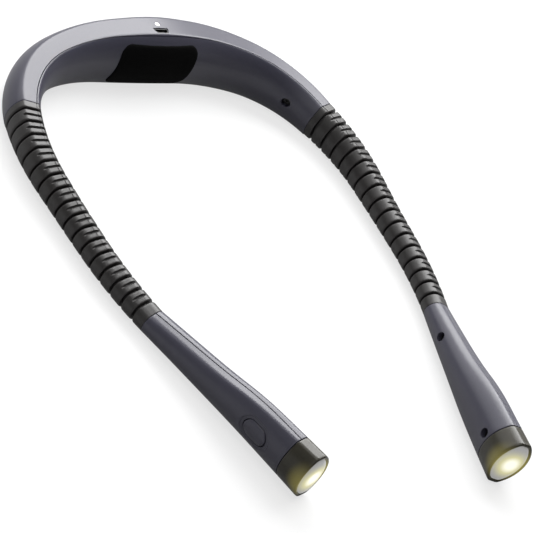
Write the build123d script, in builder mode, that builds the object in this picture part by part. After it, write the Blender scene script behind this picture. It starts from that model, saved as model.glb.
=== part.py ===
"""Neck reading light: a U-shaped neck housing, two ribbed flexible arms and two lamp heads.

Millimetres, +Z up. The light lies flat as on a table: X runs from the wearer's left arm to the right
arm, the neck housing is at +Y and the lamp heads point to -Y. The right side is x > 0.
"""
import os
from math import cos, hypot, radians, sin
from build123d import *

# Centreline of one half, seen from above: arcs that follow each other from the middle of the neck
back_length = 21.0          # straight stretch, half of it, that carries the charging socket
shoulder_length = 31.5
shoulder_turn = 19.9
side_length = 43.2
side_turn = 50.5
arm_root_length = 39.1
arm_root_turn = 22.4
arm_middle_length = 35.0
arm_middle_turn = 0.6
arm_end_length = 41.0
arm_end_turn = 13.0
lamp_length = 93.6
lamp_turn = -3.0            # the lamp heads sweep outwards again

# Sections, each a lens with a flat top and bottom: height, width of the flat, whole width
neck_height, neck_flat, neck_width = 28.8, 10.6, 23.0
root_height, root_flat, root_width = 16.6, 7.1, 14.3
arm_height, arm_flat, arm_width = 11.5, 4.8, 13.0
wrist_height, wrist_flat, wrist_width = 9.8, 3.7, 11.8
waist_height, waist_flat, waist_width = 15.1, 4.9, 14.2
knee_height, knee_flat, knee_width = 20.0, 5.3, 15.3
tip_height, tip_flat, tip_width = 23.1, 4.5, 16.2
waist_share = 0.4           # places of the waist and the knee on a lamp head
knee_share = 0.62
crown_length = 15.0         # the top of the neck rounds off over this length
arm_lean = -17.0            # the sections lean outwards at the top
wrist_lean = -19.0
tip_lean = -10.0
arm_lift = 0.3              # the arms are carried just clear of the table
foot_trim = 0.3             # cut off the neck's underside to make it flat

# Ribbed sleeve
rib_count = 15
rib_pitch = 7.0
rib_gap = 1.1               # groove between two ribs, measured along the arm
rib_crown = 0.7             # length of the rounded shoulder of a rib
rib_shoulder = 0.45         # how far that shoulder falls
rib_depth = 1.6             # groove depth down to the inner sleeve
notch_width = 1.2           # half-pitch notch across the flats
notch_depth = 0.9
root_collar_length = 4.1
sleeve_clearance = 0.3
sleeve_wall = 1.0
core_diameter = 3.2         # malleable gooseneck core
core_clearance = 0.35
core_end_length = 7.0       # how far the core runs into each housing

# Housings
wall = 1.8
end_wall = 2.4
seam_gap = 0.25             # parting line between the two shells of a housing
neck_seam_lip = 0.5         # parting line at the middle, beyond the inner edge of the neck's flat
neck_seam_run = 1.6         # by which it has moved onto the flat at the two ends
lamp_seam_rear_share = -0.33    # parting line of a lamp head at the sleeve, as a share of half its flat
lamp_seam_front_share = 0.2     # and at the bezel
lamp_seam_sweep = 3         # how late it crosses over: the power it moves with
overrun = 3.0              # how far cutting shapes reach past what they cut
fit_gap = 0.15              # clearance of a piece seated in a housing

# Socket and indicator in the neck's top face
socket_width = 7.6
socket_thickness = 2.8
socket_bevel = 1.1
socket_depth = 5.6
socket_skin = 0.4
socket_floor = 1.0
socket_offset = -3.2        # from the centreline, towards the inner face
socket_recess = 0.4
tongue_width = 4.6
tongue_thickness = 0.7
tongue_recess = 0.9
indicator_diameter = 2.2
indicator_offset = 0.9
indicator_length = 4.2
indicator_flange = 0.6
indicator_flange_thickness = 0.6

# Charging board, battery and pad
board_thickness = 1.0
board_width = 26.0
board_height = 7.0
board_top_gap = 1.4         # from the inside of the top wall
battery_length = 48.0
battery_thickness = 8.0
battery_corner = 1.5
pad_half_width = 21.0
pad_low = 2.4
pad_top_share = 0.86
pad_corner = 5.0
pad_thickness = 0.6

# Screws
screw_head_diameter = 3.4
screw_head_height = 1.4
screw_diameter = 2.0
screw_length = 6.4
screw_hole_diameter = 4.2
screw_hole_depth = 3.6
screw_floor = 1.2
screw_clearance = 0.1
screw_boss_diameter = 6.2
screw_post_diameter = 4.6
neck_screw_setback = 15.4   # from the end of the neck housing
rear_screw_setback = 19.4   # from the sleeve end of a lamp head
front_screw_setback = 15.0  # from the tip of a lamp head

# Lamp head
bezel_length = 11.4
bezel_wall = 1.9
bezel_flange_thickness = 1.0
bezel_skirt_length = 0.4
bezel_skirt_wall = 1.2
rim_length = 1.0
rim_fall = 0.5
lens_recess = 0.4           # edge of the lens below the rim
lens_thickness = 2.7        # at its edge
lens_ledge = 0.9
lens_dome = 1.4             # how far the face of the lens bulges out
lens_dome_run = 4.5         # and over what width, in from its edge
cone_front_diameter = 7.0
cone_back_diameter = 4.8
led_gap = 0.4
led_plate_thickness = 1.2
led_diameter = 4.0
led_height = 1.4
button_setback = 27.8       # from the tip
button_rise = 1.2           # above the middle of the face
button_length = 12.2
button_height = 7.8
button_clearance = 0.3
button_surround = 1.4
button_surround_depth = 0.4
button_sink = 0.2           # top of the button below the face
button_flange = 0.8
button_flange_depth = 4.5   # from the face to the back of the flange
button_travel = 0.5
button_stem_diameter = 2.4
switch_size = 6.0
switch_height = 2.0
switch_play = 0.1           # between stem and switch at the end of the travel
lamp_board_reach = 12.0     # how far the board runs past the button
lamp_board_height = 9.0
lamp_board_offset = -0.8    # outer face of the board, from the middle of the section

# Places along the centreline
neck_end = back_length + shoulder_length + side_length
first_groove = neck_end + root_collar_length
last_groove = first_groove + rib_count * rib_pitch
lamp_start = neck_end + arm_root_length + arm_middle_length + arm_end_length
lamp_tip = lamp_start + lamp_length
lamp_waist = lamp_start + lamp_length * waist_share
lamp_knee = lamp_start + lamp_length * knee_share
bezel_start = lamp_tip - bezel_length
arm_middle = first_groove + rib_count * rib_pitch / 2
lens_front = lamp_tip - lens_recess
lens_back = lens_front - lens_thickness
led_plate_front = bezel_start + bezel_flange_thickness + led_plate_thickness
button_place = lamp_tip - button_setback
neck_steps = 13
lamp_steps = 10
sleeve_steps = 16
dome_steps = 5

centreline = [
    (back_length, 0.0),
    (shoulder_length, shoulder_turn),
    (side_length, side_turn),
    (arm_root_length, arm_root_turn),
    (arm_middle_length, arm_middle_turn),
    (arm_end_length, arm_end_turn),
    (lamp_length, lamp_turn),
]
waist_lean = wrist_lean + (tip_lean - wrist_lean) * waist_share
knee_lean = wrist_lean + (tip_lean - wrist_lean) * knee_share
stations = [0.0, neck_end, arm_middle, lamp_start, lamp_waist, lamp_knee, lamp_tip]
heights = [neck_height, root_height, arm_height, wrist_height, waist_height, knee_height, tip_height]
flats = [neck_flat, root_flat, arm_flat, wrist_flat, waist_flat, knee_flat, tip_flat]
widths = [neck_width, root_width, arm_width, wrist_width, waist_width, knee_width, tip_width]
leans = [0.0, 0.0, arm_lean, wrist_lean, waist_lean, knee_lean, tip_lean]
lifts = [0.0, 0.0, arm_lift, arm_lift, arm_lift, 0.0, 0.0]


def walk(distance):
    """Place and heading on the centreline: x, y and the angle turned from +X towards -Y."""
    x, y, heading = 0.0, 0.0, 0.0
    left = abs(distance)
    for length, turn in centreline:
        part = min(left, length)
        bend = radians(turn) * part / length
        chord = part if bend == 0 else part * sin(bend / 2) / (bend / 2)
        x += chord * cos(heading + bend / 2)
        y -= chord * sin(heading + bend / 2)
        heading += bend
        left -= part
    x += left * cos(heading)
    y -= left * sin(heading)
    if distance < 0:
        return -x, y, -heading
    return x, y, heading


def at(table, distance):
    """Value of a section table at a place on the centreline, in straight lines between stations."""
    place = abs(distance)
    if place < neck_end:
        rise = hypot(place, crown_length) - crown_length
        return table[0] + (table[1] - table[0]) * rise / (hypot(neck_end, crown_length) - crown_length)
    for here, there, low, high in zip(stations, stations[1:], table, table[1:]):
        if here <= place <= there:
            return low + (high - low) * (place - here) / (there - here)
    return table[-1]


# The origin lies in the middle of the whole light, from the neck's back to the lamps' outer corners
tip_corner = walk(lamp_tip)[1] - tip_width / 2 * abs(cos(walk(lamp_tip)[2])) * cos(radians(tip_lean))
middle_shift = (neck_width / 2 + tip_corner) / 2


def section_plane(distance, foot=0.0):
    """Plane across the light: local X points outwards, local Y up, its normal along the centreline."""
    x, y, heading = walk(distance)
    lean = radians(at(leans, distance))
    half_flat = at(flats, distance) / 2
    rise = at(heights, distance) / 2 * cos(lean) + half_flat * abs(sin(lean)) + at(lifts, distance) - foot / 2
    outward = Vector(sin(heading) * cos(lean), cos(heading) * cos(lean), sin(lean))
    along = Vector(cos(heading), -sin(heading), 0)
    return Plane(origin=(x, y - middle_shift, rise), x_dir=outward, z_dir=along)


def section(distance, inset=0.0, foot=0.0):
    """Face of the light's section at a place, drawn in by an inset all round."""
    height = at(heights, distance) - 2 * inset + foot
    half_width = at(widths, distance) / 2 - inset
    half_flat = at(flats, distance) / 2 * (1 - 2 * inset / at(heights, distance))
    with BuildSketch(section_plane(distance, foot)) as sketch:
        with BuildLine():
            Line((-half_flat, height / 2), (half_flat, height / 2))
            ThreePointArc((half_flat, height / 2), (half_width, 0), (half_flat, -height / 2))
            Line((half_flat, -height / 2), (-half_flat, -height / 2))
            ThreePointArc((-half_flat, -height / 2), (-half_width, 0), (-half_flat, height / 2))
        make_face()
    return sketch.sketch.faces()[0]


def spread(start, end, count):
    """Evenly spaced places from start to end, both included."""
    return [start + (end - start) * step / (count - 1) for step in range(count)]


def form(start, end, count, inset=0.0, foot=0.0):
    """Solid of the light's own shape between two places."""
    with BuildPart() as solid:
        loft([section(place, inset, foot) for place in spread(start, end, count)])
    return solid.part


def straight_form(start, end, start_inset, end_inset):
    """Short solid of the light's shape with straight flanks between two places."""
    with BuildPart() as solid:
        loft([section(start, start_inset), section(end, end_inset)], ruled=True)
    return solid.part


def inner_side(start, end, count, edge):
    """Block on the inner side of a parting line, where edge gives its place across the section."""
    faces = []
    for place in spread(start, end, count):
        reach = at(heights, place) / 2 + overrun
        inner = -at(widths, place) / 2 - overrun
        with BuildSketch(section_plane(place)) as sketch:
            with BuildLine():
                Polyline((inner, -reach), (edge(place), -reach), (edge(place), reach), (inner, reach), close=True)
            make_face()
        faces.append(sketch.sketch.faces()[0])
    with BuildPart() as block:
        loft(faces)
    return block.part


def keep(name, solid):
    """Label a finished piece and write it."""
    solid.label = name
    export_step(solid, f"parts/{name}.step")
    print(f"{name}: {len(solid.solids())} solid, {solid.volume:.1f} mm3")


def keep_pair(name, solid):
    """Write a piece of the right side and its mirror image on the left."""
    keep(f"right_{name}", solid)
    with BuildPart() as mirrored:
        mirror(solid, about=Plane.YZ)
    keep(f"left_{name}", mirrored.part)


def inner_face_plane(place):
    """Plane on the middle of the inner face, its normal pointing out of the housing."""
    across = section_plane(place)
    origin = across.origin - across.x_dir * at(widths, place) / 2
    return Plane(origin=origin, x_dir=across.z_dir, z_dir=across.x_dir * -1)


def round_bar(plane, diameter, start_depth, end_depth):
    """Round bar square to a face, between two depths below it."""
    with BuildPart() as bar:
        with BuildSketch(plane.offset(-start_depth)):
            Circle(diameter / 2)
        extrude(amount=start_depth - end_depth)
    return bar.part


def screw_boss(place):
    """Boss behind the inner face that the screw's head pulls on."""
    return round_bar(inner_face_plane(place), screw_boss_diameter, wall / 2, screw_hole_depth + screw_floor)


def screw_hole(place):
    """Counterbore and clearance hole through the inner face and its boss."""
    face = inner_face_plane(place)
    with BuildPart() as hole:
        add(round_bar(face, screw_hole_diameter, -overrun, screw_hole_depth))
        add(round_bar(face, screw_diameter + 2 * screw_clearance, 0, screw_hole_depth + screw_floor + overrun))
    return hole.part


def screw_post(place):
    """Post on the outer shell that the screw bites into."""
    start = screw_hole_depth + screw_floor + screw_clearance
    return round_bar(inner_face_plane(place), screw_post_diameter, start, at(widths, place) - wall / 2)


def screw_pilot(place):
    """Pilot hole in the post."""
    end = screw_hole_depth + screw_length + screw_clearance
    return round_bar(inner_face_plane(place), screw_diameter + screw_clearance, screw_hole_depth, end)


def screw(place):
    """Screw seated in its counterbore."""
    face = inner_face_plane(place)
    with BuildPart() as solid:
        add(round_bar(face, screw_head_diameter, screw_hole_depth - screw_head_height, screw_hole_depth))
        add(round_bar(face, screw_diameter, screw_hole_depth, screw_hole_depth + screw_length))
    return solid.part


def core_bore(place):
    """Hole for the end of the gooseneck core."""
    with BuildPart() as bore:
        with BuildSketch(section_plane(place)):
            Circle(core_diameter / 2 + core_clearance)
        extrude(amount=end_wall + overrun, both=True)
    return bore.part


def neck_seam(place):
    """Place of the neck's parting line across its section."""
    return neck_seam_run * abs(place) / neck_end - at(flats, place) / 2 - neck_seam_lip


def lamp_seam(place):
    """Place of a lamp head's parting line across its section."""
    along = max(0.0, (place - lamp_start) / (bezel_start - lamp_start))
    travel = lamp_seam_front_share - lamp_seam_rear_share
    return at(flats, place) / 2 * (lamp_seam_rear_share + travel * along ** lamp_seam_sweep)


os.makedirs("parts", exist_ok=True)

# Neck housing
neck_y = -middle_shift
neck_screws_at = (neck_screw_setback - neck_end, neck_end - neck_screw_setback)
neck_form = form(-neck_end, neck_end, neck_steps, foot=foot_trim)
neck_cavity = form(end_wall - neck_end, neck_end - end_wall, neck_steps, wall)
neck_split = (-neck_end - overrun, neck_end + overrun, neck_steps)
socket_top = neck_height - socket_recess


def socket_corners(grow):
    """Corners of the charging socket: a slot with its two inner corners cut off."""
    half_width = socket_width / 2 + grow
    half_thickness = socket_thickness / 2 + grow
    middle = neck_y + socket_offset
    return [
        (-half_width, middle + half_thickness),
        (half_width, middle + half_thickness),
        (half_width, middle + half_thickness - socket_bevel),
        (half_width - socket_bevel, middle - half_thickness),
        (socket_bevel - half_width, middle - half_thickness),
        (-half_width, middle + half_thickness - socket_bevel),
    ]


with BuildPart() as neck_outer_shell:
    add(neck_form)
    add(inner_side(*neck_split, neck_seam), mode=Mode.SUBTRACT)
    add(neck_cavity, mode=Mode.SUBTRACT)
    for place in neck_screws_at:
        add(screw_post(place))
        add(screw_pilot(place), mode=Mode.SUBTRACT)
    for place in (-neck_end, neck_end):
        add(core_bore(place), mode=Mode.SUBTRACT)
    with BuildSketch(Plane.XY.offset(neck_height + overrun)):
        Polygon(*socket_corners(fit_gap), align=None)
        with Locations((0, neck_y + indicator_offset)):
            Circle(indicator_diameter / 2 + fit_gap)
    extrude(amount=-wall - 2 * overrun, mode=Mode.SUBTRACT)
    split(bisect_by=Plane.XY, keep=Keep.TOP)
keep("neck_outer_shell", neck_outer_shell.part)

with BuildPart() as neck_inner_shell:
    add(neck_form)
    add(inner_side(*neck_split, lambda place: neck_seam(place) - seam_gap), mode=Mode.INTERSECT)
    add(neck_cavity, mode=Mode.SUBTRACT)
    for place in neck_screws_at:
        add(screw_boss(place))
        add(screw_hole(place), mode=Mode.SUBTRACT)
    split(bisect_by=Plane.XY, keep=Keep.TOP)
keep("neck_inner_shell", neck_inner_shell.part)

with BuildPart() as neck_screws:
    for place in neck_screws_at:
        add(screw(place))
keep("neck_screws", neck_screws.part)

pad_top = neck_height * pad_top_share
with BuildPart() as neck_pad:
    add(form(-pad_half_width - overrun, pad_half_width + overrun, neck_steps, -pad_thickness))
    add(neck_form, mode=Mode.SUBTRACT)
    with BuildSketch(Plane.XZ.offset(-neck_y)):
        with Locations((0, (pad_low + pad_top) / 2)):
            RectangleRounded(2 * pad_half_width, pad_top - pad_low, pad_corner)
    extrude(amount=neck_width, mode=Mode.INTERSECT)
keep("neck_pad", neck_pad.part)

with BuildPart() as charge_port:
    with BuildSketch(Plane.XY.offset(socket_top)):
        Polygon(*socket_corners(0), align=None)
    extrude(amount=-socket_depth)
    with BuildSketch(Plane.XY.offset(socket_top)):
        Polygon(*socket_corners(-socket_skin), align=None)
    extrude(amount=socket_floor - socket_depth, mode=Mode.SUBTRACT)
    with BuildSketch(Plane.XY.offset(socket_top - tongue_recess)):
        with Locations((0, neck_y + socket_offset)):
            Rectangle(tongue_width, tongue_thickness)
    extrude(amount=tongue_recess - socket_depth)
keep("charge_port", charge_port.part)

with BuildPart() as charge_indicator:
    with BuildSketch(Plane.XY.offset(neck_height - fit_gap)):
        with Locations((0, neck_y + indicator_offset)):
            Circle(indicator_diameter / 2)
    extrude(amount=-indicator_length)
    with BuildSketch(Plane.XY.offset(neck_height - wall - fit_gap)):
        with Locations((0, neck_y + indicator_offset)):
            Circle(indicator_diameter / 2 + indicator_flange)
    extrude(amount=-indicator_flange_thickness)
keep("charge_indicator", charge_indicator.part)

board_top = neck_height - wall - board_top_gap
board_y = neck_y + socket_offset + socket_thickness / 2
with BuildPart() as charge_board:
    with BuildSketch(Plane.XY.offset(board_top)):
        with Locations((0, board_y)):
            Rectangle(board_width, board_thickness, align=(Align.CENTER, Align.MIN))
    extrude(amount=-board_height)
keep("charge_board", charge_board.part)

battery_low = wall + core_clearance
with BuildPart() as battery_cell:
    with BuildSketch(Plane.XY.offset(battery_low)):
        with Locations((0, neck_y)):
            RectangleRounded(battery_length, battery_thickness, battery_corner)
    extrude(amount=board_top - board_height - sleeve_clearance - battery_low)
keep("battery_cell", battery_cell.part)


# Ribbed arms
def sleeve_ring(start, end, start_fall, end_fall):
    """Ring of the sleeve with its bore, its two ends drawn in to round its shoulders."""
    with BuildPart() as ring:
        loft(
            [
                section(start, start_fall),
                section(start + rib_crown),
                section(end - rib_crown),
                section(end, end_fall),
            ],
            ruled=True,
        )
        add(straight_form(start, end, rib_depth, rib_depth), mode=Mode.SUBTRACT)
    return ring.part


def rib(number):
    """One rib, with the shallow notch across its flat top and bottom."""
    start = first_groove + number * rib_pitch + rib_gap / 2
    end = start + rib_pitch - rib_gap
    middle = (start + end) / 2
    with BuildPart() as ring:
        add(sleeve_ring(start, end, rib_shoulder, rib_shoulder))
        with BuildSketch(section_plane(middle)):
            with Locations((0, at(heights, middle) / 2), (0, -at(heights, middle) / 2)):
                Rectangle(at(widths, middle), 2 * notch_depth)
        extrude(amount=notch_width / 2, both=True, mode=Mode.SUBTRACT)
    return ring.part


for number in range(rib_count):
    keep_pair(f"rib_{number + 1:02d}", rib(number))

keep_pair("root_collar", sleeve_ring(neck_end, first_groove - rib_gap / 2, 0, rib_shoulder))
keep_pair("tip_collar", sleeve_ring(last_groove + rib_gap / 2, lamp_start, rib_shoulder, 0))

sleeve_inset = rib_depth + sleeve_clearance
with BuildPart() as inner_sleeve:
    add(form(neck_end, lamp_start, sleeve_steps, sleeve_inset))
    add(form(neck_end, lamp_start, sleeve_steps, sleeve_inset + sleeve_wall), mode=Mode.SUBTRACT)
keep_pair("inner_sleeve", inner_sleeve.part)

core_faces = []
for place in spread(neck_end - core_end_length, lamp_start + core_end_length, sleeve_steps):
    with BuildSketch(section_plane(place)) as core_section:
        Circle(core_diameter / 2)
    core_faces.append(core_section.sketch.faces()[0])
with BuildPart() as gooseneck_core:
    loft(core_faces)
keep_pair("gooseneck_core", gooseneck_core.part)

# Lamp heads
lamp_screws_at = (lamp_start + rear_screw_setback, lamp_tip - front_screw_setback)
lamp_split = (lamp_start - overrun, bezel_start + overrun, lamp_steps)
lamp_body = form(lamp_start, lamp_tip - rim_length, lamp_steps)
lamp_cavity = form(lamp_start + end_wall, lamp_tip - rim_length, lamp_steps, wall)
button_across = section_plane(button_place)
button_plane = Plane(
    origin=button_across.origin + button_across.y_dir * button_rise,
    x_dir=button_across.z_dir,
    z_dir=button_across.x_dir,
)
button_face = at(widths, button_place) / 2


def button_prism(grow, back):
    """Stadium along the button's travel, from a depth below the face to outside it."""
    with BuildPart() as prism:
        with BuildSketch(button_plane.offset(button_face - back)):
            SlotOverall(button_length + 2 * grow, button_height + 2 * grow)
        extrude(amount=back + overrun)
    return prism.part


with BuildPart() as button_dish:
    add(button_prism(button_surround, button_flange_depth))
    add(form(lamp_start, lamp_tip - rim_length, lamp_steps, button_surround_depth), mode=Mode.SUBTRACT)

with BuildPart() as lamp_outer_shell:
    add(lamp_body)
    split(bisect_by=section_plane(bezel_start - seam_gap / 2), keep=Keep.BOTTOM)
    add(inner_side(*lamp_split, lamp_seam), mode=Mode.SUBTRACT)
    add(lamp_cavity, mode=Mode.SUBTRACT)
    for place in lamp_screws_at:
        add(screw_post(place))
        add(screw_pilot(place), mode=Mode.SUBTRACT)
    add(core_bore(lamp_start), mode=Mode.SUBTRACT)
    add(button_dish.part, mode=Mode.SUBTRACT)
    add(button_prism(button_clearance, button_flange_depth), mode=Mode.SUBTRACT)
keep_pair("lamp_outer_shell", lamp_outer_shell.part)

with BuildPart() as lamp_inner_shell:
    add(lamp_body)
    split(bisect_by=section_plane(bezel_start - seam_gap / 2), keep=Keep.BOTTOM)
    add(inner_side(*lamp_split, lambda place: lamp_seam(place) - seam_gap), mode=Mode.INTERSECT)
    add(lamp_cavity, mode=Mode.SUBTRACT)
    for place in lamp_screws_at:
        add(screw_boss(place))
        add(screw_hole(place), mode=Mode.SUBTRACT)
    add(core_bore(lamp_start), mode=Mode.SUBTRACT)
keep_pair("lamp_inner_shell", lamp_inner_shell.part)

with BuildPart() as lamp_screws:
    for place in lamp_screws_at:
        add(screw(place))
keep_pair("lamp_screws", lamp_screws.part)

flange_inset = wall + fit_gap + bezel_skirt_wall
with BuildPart() as lamp_bezel:
    add(lamp_body)
    split(bisect_by=section_plane(bezel_start), keep=Keep.TOP)
    add(straight_form(lamp_tip - rim_length, lamp_tip, 0, rim_fall))
    flange_end = bezel_start + bezel_flange_thickness
    add(straight_form(flange_end, lens_back - lens_ledge, bezel_wall, bezel_wall), mode=Mode.SUBTRACT)
    add(straight_form(lens_back, lamp_tip + overrun, bezel_wall, bezel_wall), mode=Mode.SUBTRACT)
    add(straight_form(bezel_start - bezel_skirt_length, flange_end, wall + fit_gap, wall + fit_gap))
    ledge_inset = bezel_wall + lens_ledge
    add(straight_form(bezel_start, lens_front, ledge_inset, ledge_inset), mode=Mode.SUBTRACT)
    skirt = (bezel_start - bezel_skirt_length, flange_end, flange_inset, flange_inset)
    add(straight_form(*skirt), mode=Mode.SUBTRACT)
keep_pair("lamp_bezel", lamp_bezel.part)

lens_inset = bezel_wall + fit_gap
dome_turns = [radians(turn) for turn in spread(0.0, 90.0, dome_steps)]
with BuildPart() as lamp_lens:
    add(straight_form(lens_back, lens_front, lens_inset, lens_inset))
    for low, high in zip(dome_turns, dome_turns[1:]):
        rises = [lens_front + lens_dome * sin(turn) for turn in (low, high)]
        insets = [lens_inset + lens_dome_run * (1 - cos(turn)) for turn in (low, high)]
        add(straight_form(*rises, *insets))
    cone_length = lens_back - led_plate_front - led_height - led_gap
    with BuildSketch(section_plane(lens_back)) as cone_front:
        Circle(cone_front_diameter / 2)
    with BuildSketch(section_plane(lens_back).offset(-cone_length)) as cone_back:
        Circle(cone_back_diameter / 2)
    loft([cone_back.sketch.faces()[0], cone_front.sketch.faces()[0]])
keep_pair("lamp_lens", lamp_lens.part)

board_end = led_plate_front - led_plate_thickness / 2
board_run = board_end - button_place + lamp_board_reach
post_at = lamp_screws_at[1]
with BuildPart() as led_board:
    add(straight_form(led_plate_front - led_plate_thickness, led_plate_front, lens_inset, lens_inset))
    with BuildSketch(section_plane(led_plate_front)):
        Circle(led_diameter / 2)
    extrude(amount=led_height)
    with BuildSketch(button_plane.offset(lamp_board_offset)):
        with Locations((-lamp_board_reach, -button_rise)):
            Rectangle(board_run, lamp_board_height, align=(Align.MIN, Align.CENTER))
    extrude(amount=-board_thickness)
    add(
        round_bar(inner_face_plane(post_at), screw_post_diameter + 2 * button_clearance, 0, at(widths, post_at)),
        mode=Mode.SUBTRACT,
    )
    with BuildSketch(button_plane.offset(lamp_board_offset)):
        Rectangle(switch_size, switch_size)
    extrude(amount=switch_height)
keep_pair("led_board", led_board.part)

stem_end = lamp_board_offset + switch_height + button_travel + switch_play
with BuildPart() as button_flange_form:
    add(button_prism(button_clearance + button_flange, button_flange_depth))
    add(form(lamp_start, lamp_tip - rim_length, lamp_steps, wall + fit_gap), mode=Mode.INTERSECT)

with BuildPart() as power_button:
    add(button_prism(0, button_flange_depth))
    add(form(lamp_start, lamp_tip - rim_length, lamp_steps, button_sink), mode=Mode.INTERSECT)
    add(button_flange_form.part)
    with BuildSketch(button_plane.offset(stem_end)):
        Circle(button_stem_diameter / 2)
    extrude(amount=button_face - button_flange_depth - stem_end)
keep_pair("power_button", power_button.part)
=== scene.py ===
from math import cos, hypot, pi, radians, sin, sqrt, tau
import bmesh
import bpy
import numpy as np
from mathutils import Matrix, Vector


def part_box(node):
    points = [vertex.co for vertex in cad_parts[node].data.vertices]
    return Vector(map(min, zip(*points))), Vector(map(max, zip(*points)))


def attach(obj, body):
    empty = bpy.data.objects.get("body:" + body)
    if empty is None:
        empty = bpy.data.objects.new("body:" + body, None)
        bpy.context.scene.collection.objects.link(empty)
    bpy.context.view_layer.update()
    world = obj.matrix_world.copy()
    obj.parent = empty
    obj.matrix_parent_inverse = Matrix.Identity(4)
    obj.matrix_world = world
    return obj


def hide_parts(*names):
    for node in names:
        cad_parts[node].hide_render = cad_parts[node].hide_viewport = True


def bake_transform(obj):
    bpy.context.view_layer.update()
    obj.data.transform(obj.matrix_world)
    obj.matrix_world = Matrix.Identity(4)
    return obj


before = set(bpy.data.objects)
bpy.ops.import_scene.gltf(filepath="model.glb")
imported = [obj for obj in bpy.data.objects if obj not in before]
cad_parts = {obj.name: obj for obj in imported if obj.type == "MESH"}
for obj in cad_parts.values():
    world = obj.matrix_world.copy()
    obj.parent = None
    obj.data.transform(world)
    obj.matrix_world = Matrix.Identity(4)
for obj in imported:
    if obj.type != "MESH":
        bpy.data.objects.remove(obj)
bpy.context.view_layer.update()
mm = 0.001
print("frame loaded:", len(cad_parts), "nodes")

# The light's own form, in millimetres, as the solids have it
lightForm = {
    "arcs": [(21.0, 0.0), (31.5, 19.9), (43.2, 50.5), (39.1, 22.4), (35.0, 0.6), (41.0, 13.0), (93.6, -3.0)],
    "heights": [28.8, 16.6, 11.5, 9.8, 15.1, 20.0, 23.1],
    "flats": [10.6, 7.1, 4.8, 3.7, 4.9, 5.3, 4.5],
    "widths": [23.0, 14.3, 13.0, 11.8, 14.2, 15.3, 16.2],
    "leans": [0.0, 0.0, -17.0, -19.0, -15.4, -13.42, -10.0],   # degrees, the top outwards
    "lifts": [0.0, 0.0, 0.3, 0.3, 0.3, 0.0, 0.0],
    "lampShares": [0.4, 0.62],  # places of the waist and the knee along a lamp head
    "crown": 15.0,              # the neck's top rounds off over this length
    "footTrim": 0.3,
    "wall": 1.8,
    "creaseRound": 0.9,         # rounding of the four long edges
    "easing": 9.0,              # the sections change smoothly over this length
    "easingSamples": 9,
}
armForm = {
    "ribCount": 15,
    "pitch": 7.0,
    "gap": 1.1,                 # groove between two ribs
    "collar": 4.1,
    "crown": 0.8,               # length of a rib's rounded shoulder
    "shoulder": 0.5,            # how far that shoulder falls
    "collarRound": 0.3,         # rounding of a collar's outer end
    "roundSteps": 5,
    "rows": 32,
    "depth": 1.6,
    "notchWidth": 1.4,          # half-pitch notch across the flats
    "notchDepth": 0.9,
    "notchReach": 1.5,          # how far it runs over the edge of the flat
    "notchLeast": 1e-4,         # keeps the notch's share from a division by zero
    "mouldShare": -0.66,        # mould line, as a share of half the flat
    "mouldWidth": 0.15,
    "mouldDepth": 0.22,
    "sleeveInset": 1.9,
    "sleeveWall": 1.0,
    "coreDiameter": 3.2,
    "coreEnd": 7.0,             # how far the core reaches into the housings
    "coreSteps": 24,
    "webRows": 12,
}

neckEnd = sum(length for length, turn in lightForm["arcs"][:3])
lampStart = neckEnd + sum(length for length, turn in lightForm["arcs"][3:6])
lampTip = lampStart + lightForm["arcs"][6][0]
firstGroove = neckEnd + armForm["collar"]
lastGroove = firstGroove + armForm["ribCount"] * armForm["pitch"]
armMiddle = (firstGroove + lastGroove) / 2
lampStations = [lampStart + (lampTip - lampStart) * share for share in lightForm["lampShares"]]
stations = [0.0, neckEnd, armMiddle, lampStart, *lampStations, lampTip]
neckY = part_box("neck_outer_shell")[1].y / mm - lightForm["widths"][0] / 2


def walk(place):    # place and heading on the centreline
    x, y, heading, left = 0.0, neckY, 0.0, abs(place)
    for length, turn in lightForm["arcs"]:
        part = min(left, length)
        bend = radians(turn) * part / length
        chord = part if bend == 0 else part * sin(bend / 2) / (bend / 2)
        x += chord * cos(heading + bend / 2)
        y -= chord * sin(heading + bend / 2)
        heading += bend
        left -= part
    x += left * cos(heading)
    y -= left * sin(heading)
    return (x, y, heading) if place >= 0 else (-x, y, -heading)


def plainAt(table, place):
    if place < neckEnd:
        crown = lightForm["crown"]
        share = (hypot(place, crown) - crown) / (hypot(neckEnd, crown) - crown)
        return table[0] + (table[1] - table[0]) * share
    return float(np.interp(place, stations[1:], table[1:]))


def at(key, place):     # value of a section table, eased between its stations
    place = abs(place)
    table = lightForm[key]
    if place <= neckEnd or place >= lampTip:
        return plainAt(table, place)
    low, high = (neckEnd, lampStart) if place < lampStart else (lampStart, lampTip)
    window = min(lightForm["easing"], place - low, high - place)
    spots = np.linspace(place - window, place + window, lightForm["easingSamples"])
    return sum(plainAt(table, spot) for spot in spots) / len(spots)


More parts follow.
